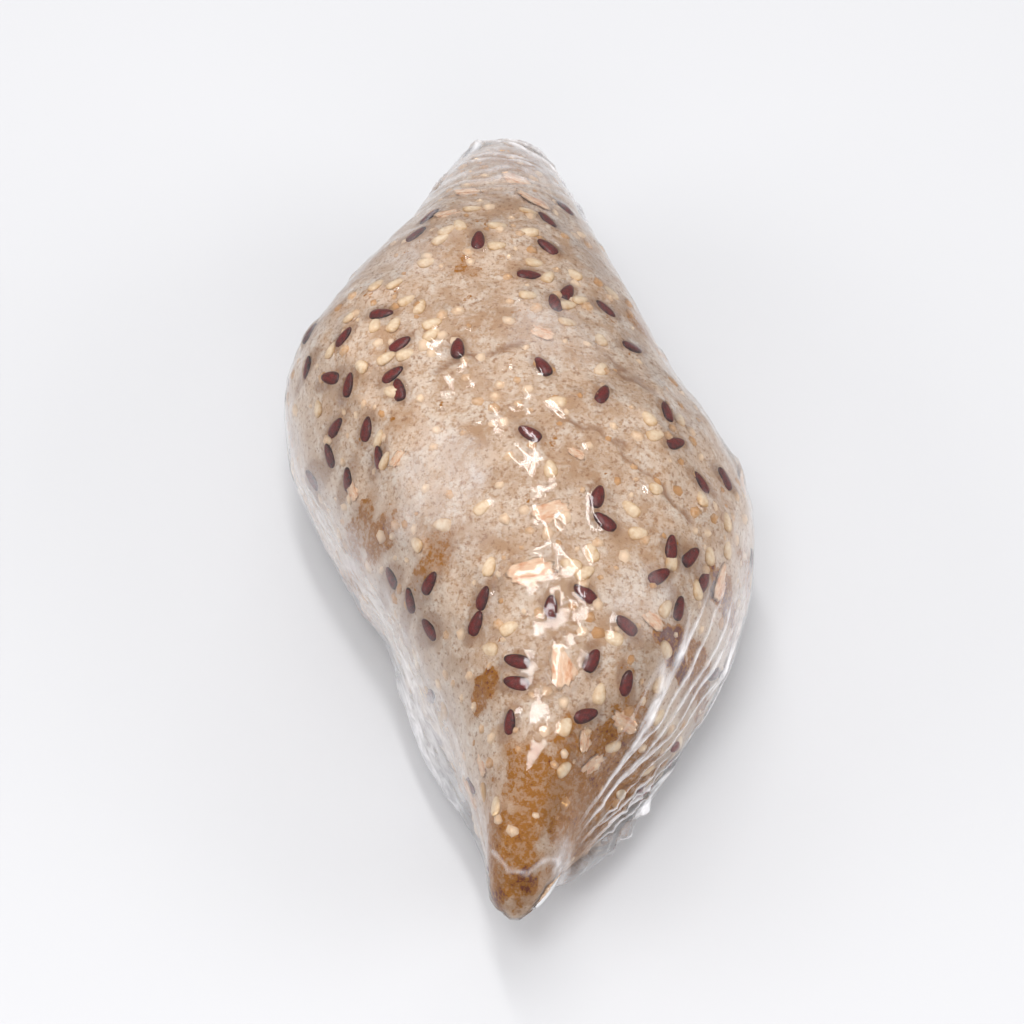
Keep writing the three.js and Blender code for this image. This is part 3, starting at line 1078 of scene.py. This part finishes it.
def far_folds(loaf):
    """Ridges across the loaf, one behind the other, from about -0.3 to 1."""
    x, y, _ = loaf.in_mm
    wander = noise_field(loaf.grid, 11, 2, 9.1)
    arcs = np.cos((y + 0.012 * x * x + 4.5 * wander) * 2 * math.pi / 3.4)
    return np.clip(arcs, -0.3, 1) * np.clip(0.5 + 1.3 * noise_field(loaf.grid, 7, 2, 2.2), 0, 1)


def wrinkle_height(loaf, slack):
    """Fine creases: across the loaf at its far end, and along it on the walls."""
    _, y, z = loaf.in_mm
    across = 0.4 * smooth_step(38, 56, y) * far_folds(loaf)
    folds = smooth_step(-71.5, -67, y) * slack * threads(loaf, 3.0, 4, 0.5, 4.4)
    fan = fan_share(loaf) * fan_threads(loaf)
    crumple = patches(loaf.grid, CRUMPLED_SPOTS, 4) * smooth_step(24, 14, z)
    frizz = crumple * np.clip(0.4 + 1.5 * noise_field(loaf.grid, 2.2, 2, 8.2), 0, 1.6)
    seam = line_mask(loaf.grid, TIP_SEAM, 1.0)
    return MM * (across + 0.15 * folds + 0.25 * fan + 0.8 * frizz + 0.12 * seam)


# ---------- stage ----------
FILL_PANEL = (0.7, 0.5)
SENSOR_MM, LENS_MM = 36, 100.8
AIM_HEIGHT = 0.0235  # what the camera looks at, half way up the roll


def light(name, size, power, place, aim, mirrored):
    """Hangs a soft light that points at a height over the middle. The film shows it only if mirrored."""
    lamp = bpy.data.lights.new(name, "AREA")
    lamp.shape = "RECTANGLE"
    lamp.size, lamp.size_y = size
    lamp.energy = power
    made = bpy.data.objects.new(name, lamp)
    bpy.context.scene.collection.objects.link(made)
    made.location = place
    made.rotation_euler = (Vector((0, 0, aim)) - Vector(place)).to_track_quat("-Z", "Y").to_euler()
    made.visible_glossy = mirrored


class ROLL_OT_stage(bpy.types.Operator):
    """Lay the pale floor, hang the soft light and set the camera"""

    bl_idname = "roll.stage"
    bl_label = "Stage"

    def execute(self, context):
        settings = context.scene.roll_stage
        bpy.ops.mesh.primitive_plane_add(size=6)
        floor = context.object
        floor.name = "floor"
        # Matt white card, which takes soft shadows and mirrors nothing.
        material, tree = new_material("white_card")
        card = {"Base Color": rgba(settings.floor), "Roughness": 0.8}
        shader = node(tree, "ShaderNodeBsdfPrincipled", card)
        node(tree, "ShaderNodeOutputMaterial", {"Surface": shader})
        floor.data.materials.append(material)

        world = bpy.data.worlds.new("white_surround")
        context.scene.world = world
        world.use_nodes = True
        world.node_tree.nodes.clear()
        glow = {"Color": (0.985, 0.985, 1.0, 1), "Strength": settings.surround}
        sky = node(world.node_tree, "ShaderNodeBackground", glow)
        node(world.node_tree, "ShaderNodeOutputWorld", {"Surface": sky})
        overhead, fill = settings.overhead, settings.fill
        light("overhead_softbox", (0.055, 0.5), overhead, (-0.03, 0.08, 0.6), 0.03, True)
        light("front_softbox", (0.2, 0.12), 0.68 * overhead, (-0.07, -0.2, 0.55), 0.03, True)
        light("ceiling", (1.4, 1.4), 1.1 * fill, (0, 0, 0.8), 0, False)
        light("front_fill", FILL_PANEL, 4.0 * fill, (0, -0.95, 0.5), 0.02, False)
        light("back_fill", FILL_PANEL, 2.6 * fill, (0, 0.9, 0.5), 0.02, False)
        light("left_fill", FILL_PANEL, 5.1 * fill, (-0.85, -0.08, 0.4), 0.02, False)
        light("right_fill", FILL_PANEL, 6.1 * fill, (0.85, -0.08, 0.4), 0.02, False)

        low, high = CAD_BOX
        target = Vector(((low.x + high.x) / 2 - 0.0005, (low.y + high.y) / 2 - 0.0063, AIM_HEIGHT))
        back = Vector((0, -math.cos(settings.elevation), math.sin(settings.elevation)))
        lens = bpy.data.cameras.new("camera")
        camera = bpy.data.objects.new("camera", lens)
        context.scene.collection.objects.link(camera)
        camera.location = target + back * settings.distance
        camera.rotation_euler = (-back).to_track_quat("-Z", "Y").to_euler()
        lens.sensor_width, lens.lens = SENSOR_MM, LENS_MM
        lens.clip_start = 0.01
        context.scene.camera = camera
        context.scene.view_settings.view_transform = "Standard"
        return {"FINISHED"}


class ROLL_PT_panel(bpy.types.Panel):
    """Lists the pieces of the roll in the sidebar"""

    bl_label = "Bread roll"
    bl_idname = "ROLL_PT_panel"
    bl_space_type = "VIEW_3D"
    bl_region_type = "UI"
    bl_category = "Bread roll"

    def draw(self, context):
        for group, operators in PANEL_ROWS:
            box = self.layout.box()
            settings = getattr(context.scene, group)
            for name in settings.bl_rna.properties.keys():
                if name not in ("rna_type", "name"):
                    box.prop(settings, name)
            for operator in operators:
                box.operator(operator)


PANEL_ROWS = [
    ("roll_crust", ["roll.crust"]),
    ("roll_seeds", ["roll.linseeds", "roll.sesame", "roll.flakes", "roll.grits"]),
    ("roll_film", ["roll.film"]),
    ("roll_stage", ["roll.stage"]),
]
SETTINGS = {
    "roll_crust": CrustSettings,
    "roll_seeds": SeedSettings,
    "roll_film": FilmSettings,
    "roll_stage": StageSettings,
}
OPERATORS = [
    ROLL_OT_crust,
    ROLL_OT_linseeds,
    ROLL_OT_sesame,
    ROLL_OT_flakes,
    ROLL_OT_grits,
    ROLL_OT_film,
    ROLL_OT_stage,
]


def register():
    for kind in [*SETTINGS.values(), *OPERATORS, ROLL_PT_panel]:
        bpy.utils.register_class(kind)
    for name, kind in SETTINGS.items():
        setattr(bpy.types.Scene, name, PointerProperty(type=kind))


def unregister():
    for name in SETTINGS:
        delattr(bpy.types.Scene, name)
    for kind in [ROLL_PT_panel, *OPERATORS, *SETTINGS.values()]:
        bpy.utils.unregister_class(kind)


def main():
    register()
    bpy.ops.roll.crust()
    bpy.ops.roll.linseeds()
    bpy.ops.roll.sesame()
    bpy.ops.roll.flakes()
    bpy.ops.roll.grits()
    bpy.ops.roll.film()
    bpy.ops.roll.stage()


LOAF = Loaf()

if __name__ == "__main__":
    main()
